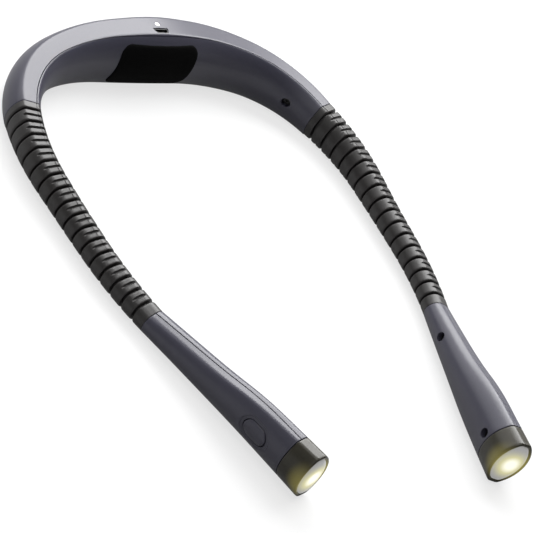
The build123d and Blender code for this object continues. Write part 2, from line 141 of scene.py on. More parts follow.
class Section:      # axes of the plane across the light at a place
    def __init__(self, place, foot=0.0):
        x, y, heading = walk(place)
        lean = radians(at("leans", place))
        self.height = at("heights", place)
        self.halfFlat = at("flats", place) / 2
        self.halfWidth = at("widths", place) / 2
        self.foot = foot
        rise = self.height / 2 * cos(lean) + self.halfFlat * abs(sin(lean)) + at("lifts", place) - foot / 2
        self.origin = np.array([x, y, rise])
        self.outward = np.array([sin(heading) * cos(lean), cos(heading) * cos(lean), sin(lean)])
        self.along = np.array([cos(heading), -sin(heading), 0.0])
        self.up = np.cross(self.along, self.outward)

    def place(self, across, upwards):
        across, upwards = np.asarray(across, float), np.asarray(upwards, float)
        return self.origin + across[..., None] * self.outward + upwards[..., None] * self.up

    def side(self, inset=0.0):      # radius of the bulging side and its centre across the section
        half = (self.height + self.foot) / 2 - inset
        sag = self.halfWidth - inset - self.halfFlat * (1 - 2 * inset / self.height)
        radius = (half ** 2 + sag ** 2) / (2 * sag)
        return radius, self.halfWidth - inset - radius

    def surface(self, across):      # height of the surface above a place across the section
        half = (self.height + self.foot) / 2
        if abs(across) <= self.halfFlat:
            return half
        radius, centre = self.side()
        return sqrt(max(0.0, radius ** 2 - (abs(across) - centre) ** 2))

    def face(self, upwards):        # how far out the side face lies at a height
        radius, centre = self.side()
        return centre + np.sqrt(radius ** 2 - np.asarray(upwards) ** 2)


flatShares = [-1, -0.88, -0.8, -0.74, -0.68, -0.62, -0.56, -0.44, -0.22, 0, 0.22, 0.44, 0.66, 0.84, 1]
blendShares = [0.14, 0.32, 0.5, 0.68, 0.86]
arcCount = 27


def makeColumns():      # kind, share, side and half of each point round a section
    columns = []
    arcShares = list(np.linspace(1, -1, arcCount))
    for half, flow in ((1, 1), (-1, -1)):
        columns += [("flat", share, 0, half) for share in (flatShares if half > 0 else flatShares[::-1])]
        columns += [("blend", share, flow, half) for share in blendShares]
        columns += [("arc", share * flow, flow, half) for share in arcShares]
        columns += [("blend", share, flow, -half) for share in blendShares[::-1]]
    return columns


columnTable = makeColumns()
isFlat = np.array([kind == "flat" for kind, share, side, half in columnTable])
isBlend = np.array([kind == "blend" for kind, share, side, half in columnTable])
columnShare = np.array([share for kind, share, side, half in columnTable])
columnSide = np.array([side for kind, share, side, half in columnTable], float)
columnHalf = np.array([half for kind, share, side, half in columnTable], float)


def outline(section, inset=0.0):    # across, up and distance past the flat's edge, for each point
    inset = np.zeros(len(columnTable)) + inset
    half = (section.height + section.foot) / 2 - inset
    halfFlat = section.halfFlat * (1 - 2 * inset / section.height)
    halfWidth = section.halfWidth - inset
    sag = halfWidth - halfFlat
    radius = (half ** 2 + sag ** 2) / (2 * sag)
    centre = halfWidth - radius
    trim = lightForm["creaseRound"]
    reach = np.arcsin(half / radius) - trim / radius
    flatAcross = columnShare * (halfFlat - trim)
    share, rest = columnShare, 1 - columnShare
    arcEndAcross, arcEndUp = centre + radius * np.cos(reach), radius * np.sin(reach)
    blendAcross = rest ** 2 * (halfFlat - trim) + 2 * share * rest * halfFlat + share ** 2 * arcEndAcross
    blendUp = rest ** 2 * half + 2 * share * rest * half + share ** 2 * arcEndUp
    arcAcross, arcUp = centre + radius * np.cos(share * reach), radius * np.sin(share * reach)
    across = np.where(isFlat, flatAcross, np.where(isBlend, blendAcross, arcAcross) * columnSide)
    upwards = np.where(isFlat, half * columnHalf, np.where(isBlend, blendUp * columnHalf, arcUp))
    pastBlend, pastArc = (2 * share - 1) * trim, trim + (1 - np.abs(share)) * reach * radius
    past = np.where(isFlat, np.abs(flatAcross) - halfFlat, np.where(isBlend, pastBlend, pastArc))
    return across, upwards, past


def loopAt(place, inset=0.0, foot=0.0):
    section = Section(place, foot)
    across, upwards, past = outline(section, inset)
    return section.place(across, upwards)


def addObject(name, vertices, faces):
    mesh = bpy.data.meshes.new(name)
    mesh.from_pydata([tuple(v) for v in np.asarray(vertices, float) * mm], [], faces)
    made = bmesh.new()
    made.from_mesh(mesh)
    bmesh.ops.recalc_face_normals(made, faces=made.faces)
    made.to_mesh(mesh)
    made.free()
    item = bpy.data.objects.new(name, mesh)
    bpy.context.scene.collection.objects.link(item)
    return item


def loftObject(name, loops, ring=False):    # closed loops one after another, capped or joined end to end
    loops = np.asarray(loops)
    rows, count = loops.shape[:2]
    faces = []
    for row in range(rows if ring else rows - 1):
        here, there = row * count, (row + 1) % rows * count
        faces += [(here + i, here + (i + 1) % count, there + (i + 1) % count, there + i)
                  for i in range(count)]
    if not ring:
        faces += [list(range(count))[::-1], list(range((rows - 1) * count, rows * count))]
    return addObject(name, loops.reshape(-1, 3), faces)


def shade(item, angle=32):
    item.data.polygons.foreach_set("use_smooth", [True] * len(item.data.polygons))
    item.data.set_sharp_from_angle(angle=radians(angle))
    return item


def closeGaps(mesh):        # an exact Boolean may leave out a sliver of a face at a flat edge
    healed = bmesh.new()
    healed.from_mesh(mesh)
    rim = [edge for edge in healed.edges if edge.is_boundary]
    if rim:
        bmesh.ops.holes_fill(healed, edges=rim, sides=0)
        bmesh.ops.recalc_face_normals(healed, faces=healed.faces)
        healed.to_mesh(mesh)
    healed.free()


def combine(item, cutter, operation):       # one exact Boolean, applied
    change = item.modifiers.new("change", "BOOLEAN")
    change.object = cutter
    change.operation = operation
    change.solver = "EXACT"
    evaluated = item.evaluated_get(bpy.context.evaluated_depsgraph_get())
    changed = bpy.data.meshes.new_from_object(evaluated)
    item.modifiers.clear()
    closeGaps(changed)
    item.data = changed
    bpy.data.objects.remove(cutter)
    return item


def copyOf(item, name):
    twin = bpy.data.objects.new(name, item.data.copy())
    bpy.context.scene.collection.objects.link(twin)
    return twin


def mirrored(item, name):       # the same piece on the left side
    twin = copyOf(item, name)
    twin.data.transform(Matrix.Scale(-1, 4, (1, 0, 0)))
    twin.data.flip_normals()
    return twin


def dress(item, material):
    item.data.materials.clear()
    item.data.materials.append(material)
    return item


print("form ready:", round(lampTip, 1), "mm from the middle to a tip")

# Finishes
grainForm = {
    "detail": 3,
    "cloudScale": 40,           # size of the patches of uneven gloss
    "bumpHeight": 0.1,
}
finishes = {
    "housing": {"dark": (0.046, 0.045, 0.066), "light": (0.057, 0.056, 0.079), "smooth": 0.32, "rough": 0.39,
                "scale": 900, "metal": 0.0, "bump": 0.04},
    "sleeve": {"dark": (0.015, 0.0135, 0.0132), "light": (0.021, 0.0187, 0.018), "smooth": 0.36,
               "rough": 0.46, "scale": 1400, "metal": 0.0, "bump": 0.05},
    "pad": {"dark": (0.002, 0.002, 0.002), "light": (0.003, 0.003, 0.003), "smooth": 0.75, "rough": 0.85,
            "scale": 1800, "metal": 0.0, "bump": 0.15, "specular": 0.05},
    "steel": {"dark": (0.03, 0.03, 0.03), "light": (0.05, 0.05, 0.05), "smooth": 0.3, "rough": 0.45,
              "scale": 1200, "metal": 1.0, "bump": 0.03},
    "port": {"dark": (0.010, 0.010, 0.011), "light": (0.016, 0.016, 0.017), "smooth": 0.35, "rough": 0.5,
             "scale": 1500, "metal": 0.2, "bump": 0.03},
    "board": {"dark": (0.010, 0.055, 0.025), "light": (0.015, 0.075, 0.035), "smooth": 0.35, "rough": 0.5,
              "scale": 900, "metal": 0.0, "bump": 0.05},
    "battery": {"dark": (0.02, 0.05, 0.16), "light": (0.03, 0.07, 0.20), "smooth": 0.3, "rough": 0.4,
                "scale": 700, "metal": 0.0, "bump": 0.03},
    "core": {"dark": (0.20, 0.19, 0.18), "light": (0.30, 0.29, 0.27), "smooth": 0.4, "rough": 0.55,
             "scale": 1500, "metal": 0.9, "bump": 0.1},
}
lampLook = {
    "bezel": {"dark": (0.028, 0.026, 0.018), "light": (0.040, 0.036, 0.025), "smooth": 0.24, "rough": 0.34,
              "scale": 600, "bump": 0.02},
    "bezelSpecular": 0.35,
    # painted glow: the lamp's light drawn as yellow emission on the smoked bezel near the tip
    "bezelPaintedGlow": (0.60, 0.52, 0.12),
    "bezelPaintedGlowStrength": 1.2,
    "bezelPaintedGlowReach": 11.0,
    "lensEdge": (0.20, 0.19, 0.22),
    "hotColor": (1.0, 0.98, 0.80),
    "lensNear": (0.56, 0.53, 0.26),
    "lensFar": (0.27, 0.27, 0.26),
    "lensReach": 9.0,           # how far from the middle of the tip the glow fades out
    "nearShare": 0.45,
    "hotShare": 0.85,
    "lensRoughness": 0.12,
    "lensStrength": 1.0,
}
indicatorLook = {
    "color": (0.8, 0.8, 0.8),
    "roughness": 0.4,
    "glow": (1.0, 1.0, 1.0),
    "strength": 0.5,
}


def newGroup(name, inputs, outputs):
    group = bpy.data.node_groups.new(name, "ShaderNodeTree")
    for socket, kind, value in inputs:
        made = group.interface.new_socket(socket, in_out="INPUT", socket_type=kind)
        made.default_value = value
    for socket, kind in outputs:
        group.interface.new_socket(socket, in_out="OUTPUT", socket_type=kind)
    return group, group.nodes.new("NodeGroupInput"), group.nodes.new("NodeGroupOutput")


def makeGrainGroup():       # fine moulded grain: mottled colour, uneven gloss and a height
    group, entry, leave = newGroup("fineGrain", [
        ("Scale", "NodeSocketFloat", 900.0), ("Dark", "NodeSocketColor", (0, 0, 0, 1)),
        ("Light", "NodeSocketColor", (1, 1, 1, 1)), ("Smooth", "NodeSocketFloat", 0.3),
        ("Rough", "NodeSocketFloat", 0.5)],
        [("Color", "NodeSocketColor"), ("Roughness", "NodeSocketFloat"), ("Height", "NodeSocketFloat")])
    nodes, link = group.nodes, group.links.new
    spot = nodes.new("ShaderNodeTexCoord")
    grain = nodes.new("ShaderNodeTexNoise")
    grain.inputs["Detail"].default_value = grainForm["detail"]
    cloud = nodes.new("ShaderNodeTexNoise")
    cloud.inputs["Scale"].default_value = grainForm["cloudScale"]
    blend = nodes.new("ShaderNodeMix")
    blend.data_type = "RGBA"
    gloss = nodes.new("ShaderNodeMapRange")
    link(spot.outputs["Object"], grain.inputs["Vector"])
    link(entry.outputs["Scale"], grain.inputs["Scale"])
    link(spot.outputs["Object"], cloud.inputs["Vector"])
    link(grain.outputs["Fac"], blend.inputs["Factor"])
    link(entry.outputs["Dark"], blend.inputs["A"])
    link(entry.outputs["Light"], blend.inputs["B"])
    link(cloud.outputs["Fac"], gloss.inputs["Value"])
    link(entry.outputs["Smooth"], gloss.inputs["To Min"])
    link(entry.outputs["Rough"], gloss.inputs["To Max"])
    link(blend.outputs["Result"], leave.inputs["Color"])
    link(gloss.outputs["Result"], leave.inputs["Roughness"])
    link(grain.outputs["Fac"], leave.inputs["Height"])
    return group


def makeGlowGroup():        # mask that falls off from a lamp's tip, the same on both sides, for the lens's own light and for the painted glow on the bezel
    group, entry, leave = newGroup("tipGlow", [
        ("Centre", "NodeSocketVector", (0, 0, 0)), ("Reach", "NodeSocketFloat", 0.01)],
        [("Glow", "NodeSocketFloat")])
    nodes, link = group.nodes, group.links.new
    spot = nodes.new("ShaderNodeTexCoord")
    mirror = nodes.new("ShaderNodeVectorMath")
    mirror.operation = "ABSOLUTE"
    split = nodes.new("ShaderNodeSeparateXYZ")
    side = nodes.new("ShaderNodeSeparateXYZ")
    join = nodes.new("ShaderNodeCombineXYZ")
    away = nodes.new("ShaderNodeVectorMath")
    away.operation = "DISTANCE"
    fall = nodes.new("ShaderNodeMapRange")
    fall.interpolation_type = "SMOOTHSTEP"
    fall.inputs["From Min"].default_value = 0
    fall.inputs["To Min"].default_value = 1
    fall.inputs["To Max"].default_value = 0
    link(spot.outputs["Object"], mirror.inputs[0])
    link(mirror.outputs["Vector"], side.inputs["Vector"])
    link(spot.outputs["Object"], split.inputs["Vector"])
    link(side.outputs["X"], join.inputs["X"])
    link(split.outputs["Y"], join.inputs["Y"])
    link(split.outputs["Z"], join.inputs["Z"])
    link(join.outputs["Vector"], away.inputs[0])
    link(entry.outputs["Centre"], away.inputs[1])
    link(away.outputs["Value"], fall.inputs["Value"])
    link(entry.outputs["Reach"], fall.inputs["From Max"])
    link(fall.outputs["Result"], leave.inputs["Glow"])
    return group


grainGroup = makeGrainGroup()
glowGroup = makeGlowGroup()


def newMaterial(name):
    material = bpy.data.materials.new(name)
    material.use_nodes = True
    nodes = material.node_tree.nodes
    return material, nodes, material.node_tree.links.new, nodes["Principled BSDF"]


def addGrain(nodes, link, shader, finish):
    grain = nodes.new("ShaderNodeGroup")
    grain.node_tree = grainGroup
    grain.inputs["Scale"].default_value = finish["scale"]
    grain.inputs["Dark"].default_value = (*finish["dark"], 1)
    grain.inputs["Light"].default_value = (*finish["light"], 1)
    grain.inputs["Smooth"].default_value = finish["smooth"]
    grain.inputs["Rough"].default_value = finish["rough"]
    bump = nodes.new("ShaderNodeBump")
    bump.inputs["Strength"].default_value = finish["bump"]
    bump.inputs["Distance"].default_value = grainForm["bumpHeight"] * mm
    link(grain.outputs["Color"], shader.inputs["Base Color"])
    link(grain.outputs["Roughness"], shader.inputs["Roughness"])
    link(grain.outputs["Height"], bump.inputs["Height"])
    link(bump.outputs["Normal"], shader.inputs["Normal"])


def grainMaterial(name, finish):
    material, nodes, link, shader = newMaterial(name)
    shader.inputs["Metallic"].default_value = finish["metal"]
    shader.inputs["Specular IOR Level"].default_value = finish.get("specular", 0.5)
    addGrain(nodes, link, shader, finish)
    return material


materials = {name: grainMaterial(name + "Finish", finish) for name, finish in finishes.items()}

tipCentre = [float(v) * mm for v in Section(lampTip).origin]


def addGlow(nodes, reach):
    glow = nodes.new("ShaderNodeGroup")
    glow.node_tree = glowGroup
    glow.inputs["Centre"].default_value = tipCentre
    glow.inputs["Reach"].default_value = reach * mm
    return glow


def makeBezelMaterial():
    material, nodes, link, shader = newMaterial("smokedBezel")
    addGrain(nodes, link, shader, lampLook["bezel"])
    shader.inputs["Specular IOR Level"].default_value = lampLook["bezelSpecular"]
    # painted glow: the lamp's light on the bezel, drawn as emission that fades away from the tip
    glow = addGlow(nodes, lampLook["bezelPaintedGlowReach"])
    tint = nodes.new("ShaderNodeMix")
    tint.data_type = "RGBA"
    tint.inputs["A"].default_value = (0, 0, 0, 1)
    tint.inputs["B"].default_value = (*lampLook["bezelPaintedGlow"], 1)
    link(glow.outputs["Glow"], tint.inputs["Factor"])
    link(tint.outputs["Result"], shader.inputs["Emission Color"])
    shader.inputs["Emission Strength"].default_value = lampLook["bezelPaintedGlowStrength"]
    return material


def makeLensMaterial():     # brightest over the middle of the dome, where the light guide stands behind it
    material, nodes, link, shader = newMaterial("lensDiffuser")
    glow = addGlow(nodes, lampLook["lensReach"])
    ramp = nodes.new("ShaderNodeValToRGB")
    ramp.color_ramp.elements[0].color = (*lampLook["lensFar"], 1)
    ramp.color_ramp.elements[1].position = lampLook["hotShare"]
    ramp.color_ramp.elements[1].color = (*lampLook["hotColor"], 1)
    middle = ramp.color_ramp.elements.new(lampLook["nearShare"])
    middle.color = (*lampLook["lensNear"], 1)
    link(glow.outputs["Glow"], ramp.inputs["Fac"])
    link(ramp.outputs["Color"], shader.inputs["Emission Color"])
    shader.inputs["Base Color"].default_value = (*lampLook["lensEdge"], 1)
    shader.inputs["Roughness"].default_value = lampLook["lensRoughness"]
    shader.inputs["Emission Strength"].default_value = lampLook["lensStrength"]
    return material


def makeIndicatorMaterial():
    material, nodes, link, shader = newMaterial("indicatorDiffuser")
    shader.inputs["Base Color"].default_value = (*indicatorLook["color"], 1)
    shader.inputs["Roughness"].default_value = indicatorLook["roughness"]
    shader.inputs["Emission Color"].default_value = (*indicatorLook["glow"], 1)
    shader.inputs["Emission Strength"].default_value = indicatorLook["strength"]
    return material


materials["bezel"] = makeBezelMaterial()
materials["lens"] = makeLensMaterial()
materials["indicator"] = makeIndicatorMaterial()
print("finishes ready:", len(materials))

# Parting lines
seamForm = {
    "gap": 0.25,
    "lip": 0.12,                # small chamfer along the line
    "reach": 1.5,               # the cutting block passes the surface by this much
    "overrun": 1.0,             # and the ends of the form by this much
    "neckLip": 0.5,             # from the edge of the band to the line, at the middle of the neck
    "neckRun": 1.6,             # and how far the line climbs from there to the neck's end
    "neckRows": 120,
    "rearShare": -0.33,         # place of the line on a lamp head's flat, at its rear and at its bezel
    "frontShare": 0.2,
    "sweep": 3,
    "lampRows": 70,
}


def neckSeam(place):
    return seamForm["neckRun"] * abs(place) / neckEnd - at("flats", place) / 2 - seamForm["neckLip"]


def lampSeam(place):
    along = max(0.0, (place - lampStart) / (bezelStart - lampStart))
    travel = seamForm["frontShare"] - seamForm["rearShare"]
    return at("flats", place) / 2 * (seamForm["rearShare"] + travel * along ** seamForm["sweep"])


def seamPlaces(start, end, rows):
    return np.linspace(start - seamForm["overrun"], end + seamForm["overrun"], rows)


def seamBlock(places, edge, shift, flare, foot=0.0):    # inner side of a parting line, flared at the surface
    loops = []
    for place in places:
        section = Section(place, foot)
        spot = edge(place) + shift
        inner = -section.halfWidth - seamForm["reach"]
        surface = section.surface(spot)
        reach = (section.height + foot) / 2 + seamForm["reach"]
        neck = surface - seamForm["lip"]
        wide = spot + flare * (reach - neck)
        across = np.array([inner, wide, spot, spot, wide, inner])
        upwards = np.array([-reach, -reach, -neck, neck, reach, reach])
        loops.append(section.place(across, upwards))
    return loftObject("seamBlock", loops)


def splitForm(form, outerName, innerName, places, edge, foot=0.0):      # two shells from one form
    inner = copyOf(form, innerName)
    form.name = outerName
    combine(form, seamBlock(places, edge, 0.0, 1, foot), "DIFFERENCE")
    combine(inner, seamBlock(places, edge, -seamForm["gap"], -1, foot), "INTERSECT")
    return form, inner


def housingLoops(start, end, count, foot=0.0, edgeRound=0.3, edgeSteps=4):      # rounded at both ends
    loops = []
    for step in range(edgeSteps + 1):
        turn = pi / 2 * step / edgeSteps
        loops.append(loopAt(start + edgeRound * (1 - cos(turn)), edgeRound * (1 - sin(turn)), foot))
    for place in np.linspace(start + edgeRound, end - edgeRound, count)[1:-1]:
        loops.append(loopAt(place, 0.0, foot))
    for step in range(edgeSteps, -1, -1):
        turn = pi / 2 * step / edgeSteps
        loops.append(loopAt(end - edgeRound * (1 - cos(turn)), edgeRound * (1 - sin(turn)), foot))
    return loops


# Screws, each in a counterbored hole in an inner face
screwForm = {
    "holeDiameter": 4.2,
    "holeDepth": 3.6,
    "holeLip": 0.15,
    "headDiameter": 3.6,
    "headHeight": 1.4,
    "headEdge": 0.2,            # chamfer round the head
    "shankDiameter": 2.0,
    "shankLength": 6.4,
    "crossWidth": 0.55,
    "crossLength": 2.0,
    "crossDepth": 0.8,
    "crossTaper": 0.5,          # the cross shortens to this share at its bottom
    "neckSetback": 15.4,
    "rearSetback": 19.4,
    "frontSetback": 15.0,
    "steps": 40,
}


def turned(name, place, profile):       # radius and depth below the inner face, turned into a solid
    section = Section(place)
    middle = section.origin - section.outward * section.halfWidth
    turns = np.linspace(0, tau, screwForm["steps"], endpoint=False)
    ways = [cos(t) * section.along + sin(t) * section.up for t in turns]
    loops = [[middle + section.outward * depth + radius * way for way in ways] for radius, depth in profile]
    return loftObject(name, loops)


def screwHole(place):
    radius, lip = screwForm["holeDiameter"] / 2, screwForm["holeLip"]
    profile = [(radius + 4 * lip, -3 * lip), (radius, lip), (radius, screwForm["holeDepth"])]
    return turned("hole", place, profile)


def makeScrew(name, place):
    radius, seat, edge = screwForm["headDiameter"] / 2, screwForm["holeDepth"], screwForm["headEdge"]
    top = seat - screwForm["headHeight"]
    profile = [(radius - edge, top), (radius, top + edge), (radius, seat),
               (screwForm["shankDiameter"] / 2, seat),
               (screwForm["shankDiameter"] / 2, seat + screwForm["shankLength"])]
    screw = turned(name, place, profile)
    section = Section(place)
    middle = section.origin - section.outward * (section.halfWidth - top)
    depths = [(-screwForm["crossDepth"] / 4, 1.0), (screwForm["crossDepth"], screwForm["crossTaper"])]
    for long, short in ((section.along, section.up), (section.up, section.along)):
        corners = []
        for depth, share in depths:
            reach, width = screwForm["crossLength"] / 2 * share, screwForm["crossWidth"] / 2
            corners.append([middle + section.outward * depth + a * reach * long + b * width * short
                            for a, b in ((-1, -1), (1, -1), (1, 1), (-1, 1))])
        combine(screw, loftObject("cross", corners), "DIFFERENCE")
    return screw


# Neck housing
neckForm = {
    "rows": 260,
    "socketWidth": 7.6,
    "socketThickness": 2.8,
    "socketBevel": 1.1,
    "socketOffset": -3.2,
    "socketFit": 0.15,
    "socketFlare": 0.55,        # the lip of the opening grows to this
    "indicatorDiameter": 2.2,
    "indicatorOffset": 0.9,
    "indicatorFit": 0.1,
    "indicatorFlare": 0.5,
    "indicatorSteps": 36,
    "flareTop": 0.4,            # the lip runs from this far above the top to this far below it
    "flareFoot": 0.1,
    "cutDepth": 4.0,
}
neckTop = lightForm["heights"][0]


def socketCorners(grow):        # a slot with two of its corners cut off
    halfWidth, halfThickness = neckForm["socketWidth"] / 2 + grow, neckForm["socketThickness"] / 2 + grow
    middle, bevel = neckY + neckForm["socketOffset"], neckForm["socketBevel"]
    return [(-halfWidth, middle + halfThickness), (halfWidth, middle + halfThickness),
            (halfWidth, middle + halfThickness - bevel), (halfWidth - bevel, middle - halfThickness),
            (bevel - halfWidth, middle - halfThickness), (-halfWidth, middle + halfThickness - bevel)]


def indicatorRing(grow):
    radius = neckForm["indicatorDiameter"] / 2 + grow
    turns = np.linspace(0, tau, neckForm["indicatorSteps"], endpoint=False)
    return [(radius * cos(t), neckY + neckForm["indicatorOffset"] + radius * sin(t)) for t in turns]


def openTop(shell, edgeOf, fit, flare):     # an opening in the neck's band, with a flared lip
    loops = []
    for grow, height in ((flare, neckTop + neckForm["flareTop"]), (fit, neckTop - neckForm["flareFoot"]),
                         (fit, neckTop - neckForm["cutDepth"])):
        loops.append([(x, y, height) for x, y in edgeOf(grow)])
    combine(shell, loftObject("opening", loops), "DIFFERENCE")


neckShell = loftObject("neckForm", housingLoops(-neckEnd, neckEnd, neckForm["rows"], lightForm["footTrim"]))
for vertex in neckShell.data.vertices:
    vertex.co.z = max(vertex.co.z, 0.0)     # the foot is flat
neckOuter, neckInner = splitForm(neckShell, "neckOuterShell", "neckInnerShell",
                                 seamPlaces(-neckEnd, neckEnd, seamForm["neckRows"]),
                                 neckSeam, lightForm["footTrim"])
openTop(neckOuter, socketCorners, neckForm["socketFit"], neckForm["socketFlare"])
openTop(neckOuter, indicatorRing, neckForm["indicatorFit"], neckForm["indicatorFlare"])
neckScrewPlaces = [screwForm["neckSetback"] - neckEnd, neckEnd - screwForm["neckSetback"]]
for place in neckScrewPlaces:
    combine(neckInner, screwHole(place), "DIFFERENCE")
for item, node in ((neckOuter, "neck_outer_shell"), (neckInner, "neck_inner_shell")):
    shade(item)
    dress(item, materials["housing"])
    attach(item, "neck")
    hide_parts(node)
neckScrews = [makeScrew(f"neckScrew{number + 1}", place) for number, place in enumerate(neckScrewPlaces)]
for screw in neckScrews:
    shade(screw)
    dress(screw, materials["steel"])
    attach(screw, "neck")
    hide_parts("neck_screws")
print("neck housing ready")

# Neck pad: a thin soft panel on the inner face, crowned and rounded
padForm = {
    "halfWidth": 21.0,
    "low": 2.4,
    "topShare": 0.86,
    "corner": 5.0,
    "rings": [(0.0, -0.3), (0.0, 0.2), (-0.12, 0.38), (-0.4, 0.5), (-0.9, 0.55), (-2.0, 0.58),
              (-5.0, 0.6), (-9.0, 0.6)],        # grow and rise of each ring, from the housing inwards
    "cornerSteps": 12,
    "edgeStep": 1.2,            # points stand about this far apart along the edges
    "shadeAngle": 50,
}


def roundedLoop(halfWidth, low, high, corner):      # across and up, with arcs at the corners
    points = []
    for sx, sy, start in ((1, 1, 0), (-1, 1, pi / 2), (-1, -1, pi), (1, -1, 3 * pi / 2)):
        centre = (sx * (halfWidth - corner), (high if sy > 0 else low) - sy * corner)
        for step in range(padForm["cornerSteps"] + 1):
            turn = start + pi / 2 * step / padForm["cornerSteps"]
            points.append((centre[0] + corner * cos(turn), centre[1] + corner * sin(turn)))
    full = []
    for here, there in zip(points, points[1:] + points[:1]):
        length = hypot(there[0] - here[0], there[1] - here[1])
        pieces = max(1, round(length / padForm["edgeStep"]))
        full += [(here[0] + (there[0] - here[0]) * i / pieces, here[1] + (there[1] - here[1]) * i / pieces)
                 for i in range(pieces)]
    return full


def padObject():
    top = neckTop * padForm["topShare"]
    base = roundedLoop(padForm["halfWidth"], padForm["low"], top, padForm["corner"])
    middle, halfHeight = (padForm["low"] + top) / 2, (top - padForm["low"]) / 2
    loops = []
    for grow, rise in padForm["rings"]:
        shareX = (padForm["halfWidth"] + grow) / padForm["halfWidth"]
        shareZ = (halfHeight + grow) / halfHeight
        loop = []
        for x, z in base:
            spotX, spotZ = x * shareX, middle + (z - middle) * shareZ
            section = Section(spotX, lightForm["footTrim"])
            out = float(section.face(spotZ - section.origin[2]))
            loop.append((spotX, neckY - out - rise, spotZ))
        loops.append(loop)
    return loftObject("neckPad", loops)


neckPad = shade(padObject(), padForm["shadeAngle"])
dress(neckPad, materials["pad"])
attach(neckPad, "neck")
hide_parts("neck_pad")

# Fittings that keep the mesh of their solids
for node, finish in (("charge_port", "port"), ("charge_indicator", "indicator"), ("charge_board", "board"),
                     ("battery_cell", "battery"), ("right_led_board", "board"), ("left_led_board", "board")):
    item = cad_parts[node]
    item.data.materials.clear()
    item.data.materials.append(materials[finish])
    item.data.polygons.foreach_set("material_index", [0] * len(item.data.polygons))
print("pad and fittings ready")

# Ribbed arms
ribRound = (armForm["crown"], armForm["shoulder"])      # length and fall of a ring's rounded end
plainRound = (armForm["collarRound"], armForm["collarRound"])


def ringRows(start, end, startRound, endRound):     # distance along and inset of each row round a ring
    steps = armForm["roundSteps"]
    turns = [pi / 2 * step / steps for step in range(steps)]
    rows = [(start + startRound[0] * (1 - cos(turn)), startRound[1] * (1 - sin(turn))) for turn in turns]
    rows += [(place, 0.0) for place in np.linspace(start + startRound[0], end - endRound[0], armForm["rows"])]
    rows += [(end - endRound[0] * (1 - cos(turn)), endRound[1] * (1 - sin(turn))) for turn in turns[::-1]]
    return rows


def ringObject(name, start, end, startRound=ribRound, endRound=ribRound, notch=True):
    loops = [loopAt(start, armForm["depth"])]
    middle = (start + end) / 2
    for place, inset in ringRows(start, end, startRound, endRound):
        section = Section(place)
        across, upwards, past = outline(section, inset)
        drop = np.zeros(len(across))
        if notch:
            spread = np.sqrt(np.clip(1 - past / armForm["notchReach"], 0, 1))
            width = np.maximum(armForm["notchWidth"] / 2 * spread, armForm["notchLeast"])
            share = np.clip(1 - abs(place - middle) / width, 0, 1)
            drop = armForm["notchDepth"] * spread * np.sqrt(1 - (1 - share) ** 2)
        fromLine = across - armForm["mouldShare"] * section.halfFlat
        mould = isFlat * np.exp(-(fromLine / armForm["mouldWidth"]) ** 2)
        drop = np.maximum(drop, armForm["mouldDepth"] * mould)
        across, upwards, past = outline(section, inset + drop)
        loops.append(section.place(across, upwards))
    loops.append(loopAt(end, armForm["depth"]))
    return loftObject(name, loops, ring=True)


def tubeObject(name, start, end, rows):
    places = np.linspace(start, end, rows)
    inside = armForm["sleeveInset"] + armForm["sleeveWall"]
    return loftObject(name, [loopAt(place, armForm["sleeveInset"]) for place in places]
                      + [loopAt(place, inside) for place in places[::-1]], ring=True)


def coreObject(name, start, end, rows):
    loops = []
    turns = np.linspace(0, tau, armForm["coreSteps"], endpoint=False)
    for place in np.linspace(start, end, rows):
        section = Section(place)
        radius = armForm["coreDiameter"] / 2
        loops.append(section.place(radius * np.cos(turns), radius * np.sin(turns)))
    return loftObject(name, loops)


def placeMetres(place, sign):       # a place on the centreline of either arm, in metres
    spot = Section(place).origin * mm
    return (sign * spot[0], spot[1], spot[2])


def bothSides(item, name):      # a piece and its mirror image, with side and sign
    item.name = "right" + name
    return (("right", 1, item), ("left", -1, mirrored(item, "left" + name)))


ribEdges = []
for number in range(armForm["ribCount"]):
    start = firstGroove + number * armForm["pitch"] + armForm["gap"] / 2
    end = start + armForm["pitch"] - armForm["gap"]
    ribEdges.append((start, end))
    rib = shade(ringObject("rib", start, end))
    for side, sign, item in bothSides(rib, f"Rib{number + 1:02d}"):
        dress(item, materials["sleeve"])
        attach(item, f"{side}_rib_{number + 1:02d}")
        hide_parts(f"{side}_rib_{number + 1:02d}")
rootCollar = shade(ringObject("collar", neckEnd, firstGroove - armForm["gap"] / 2,
                              plainRound, ribRound, False))
for side, sign, item in bothSides(rootCollar, "RootCollar"):
    dress(item, materials["sleeve"])
    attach(item, "neck")
    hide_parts(f"{side}_root_collar")
tipCollar = shade(ringObject("collar", lastGroove + armForm["gap"] / 2, lampStart,
                             ribRound, plainRound, False))
for side, sign, item in bothSides(tipCollar, "TipCollar"):
    dress(item, materials["sleeve"])
    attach(item, f"{side}_lamp")
    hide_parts(f"{side}_tip_collar")
print("ribs ready")


ribMiddles = [(start + end) / 2 for start, end in ribEdges]
for number in range(armForm["ribCount"] + 1):       # the sleeve and its core, in one piece round every groove
    low = ribMiddles[number - 1] if number else neckEnd
    high = ribMiddles[number] if number < armForm["ribCount"] else lampStart
    coreLow = low if number else neckEnd - armForm["coreEnd"]
    coreHigh = high if number < armForm["ribCount"] else lampStart + armForm["coreEnd"]
    groove = firstGroove + number * armForm["pitch"]
    web = shade(tubeObject("web", low, high, armForm["webRows"]))
    core = shade(coreObject("core", coreLow, coreHigh, armForm["webRows"]))
    for name, item, finish, slot, node in (("Web", web, "sleeve", "sleeve_rubber", "inner_sleeve"),
                                           ("Core", core, "core", "core_wire", "gooseneck_core")):
        for side, sign, piece in bothSides(item, f"{name}{number + 1:02d}"):
            dress(piece, materials[finish])
            placeMetres(groove - armForm["gap"] / 2, sign)
            placeMetres(groove + armForm["gap"] / 2, sign)
            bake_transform(piece)
            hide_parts(f"{side}_{node}")
print("sleeve and core ready")

